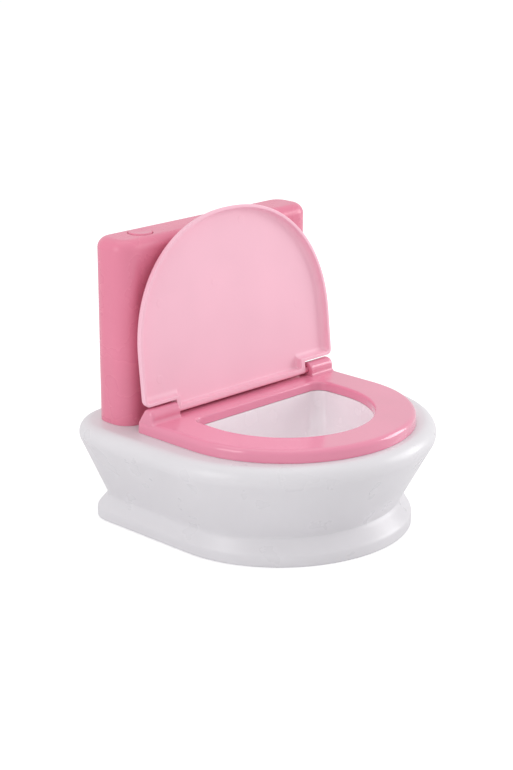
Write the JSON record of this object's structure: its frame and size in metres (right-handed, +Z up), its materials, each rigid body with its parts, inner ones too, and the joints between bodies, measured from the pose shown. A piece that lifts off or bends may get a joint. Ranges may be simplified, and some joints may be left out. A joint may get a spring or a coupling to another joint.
{
  "type": "toy toilet potty",
  "caption": "Small toilet-shaped toy potty: D-shaped bowl and seat on a tapered body with flared foot, tall box tank with a top push button, and a hinged tray lid, open by the tank.",
  "frame": {"origin": "centre of the footprint on the floor, under the widest outline of the body", "axes": "+X to the right of someone facing it, front towards -Y, tank towards +Y, +Z up"},
  "size_m": [0.1792, 0.1782, 0.1766],
  "materials": {
    "white_plastic": "satin",
    "bowl_plastic": "satin",
    "pink_plastic": "glossy",
    "tank_plastic": "satin",
    "spring_steel": "bright",
    "board": "matte",
    "black_plastic": "matte",
    "screw_steel": "zinc plated",
    "speaker_steel": "satin",
    "cell_jacket": "satin",
    "lead_jacket": "satin"
  },
  "bodies": {
    "potty": {"base_shell": "white_plastic", "plinth": "white_plastic", "bowl": "bowl_plastic", "battery_door": "white_plastic", "seat_ring": "pink_plastic", "cistern_shell": "tank_plastic", "cistern_back_cover": "tank_plastic", "button_guide": "white_plastic", "button_spring": "spring_steel", "circuit_board": "board", "board_components": "black_plastic", "tact_switch": "black_plastic", "board_screws": "screw_steel", "speaker": "speaker_steel", "speaker_clamp": "white_plastic", "speaker_screws": "screw_steel", "power_switch": "black_plastic", "battery_tray": "white_plastic", "battery_cells": "cell_jacket", "battery_contacts": "spring_steel", "plinth_screws": "screw_steel", "seat_screws": "screw_steel", "cistern_mount_screws": "screw_steel", "cover_screws": "screw_steel", "battery_door_screw": "screw_steel", "battery_leads": "lead_jacket", "speaker_leads": "lead_jacket"},
    "lid": {"lid": "pink_plastic"},
    "button": {"flush_button": "tank_plastic"},
    "power": {"power_slider": "black_plastic"}
  },
  "joints": [
    {"name": "lid_hinge", "type": "hinge", "parent": "potty", "child": "lid", "pos_m": [0, 0.02877, 0.0703], "axis": [1, 0, 0], "range_deg": [0, 96.4]},
    {"name": "flush_press", "type": "slide", "parent": "potty", "child": "button", "axis": [0, 0, -1], "range_m": [0, 0.0025], "stiffness_N_per_m": 300, "springref_m": -0.001, "deforming": ["button_spring"]},
    {"name": "power_slide", "type": "slide", "parent": "potty", "child": "power", "axis": [1, 0, 0], "range_m": [0, 0.0032]}
  ]
}
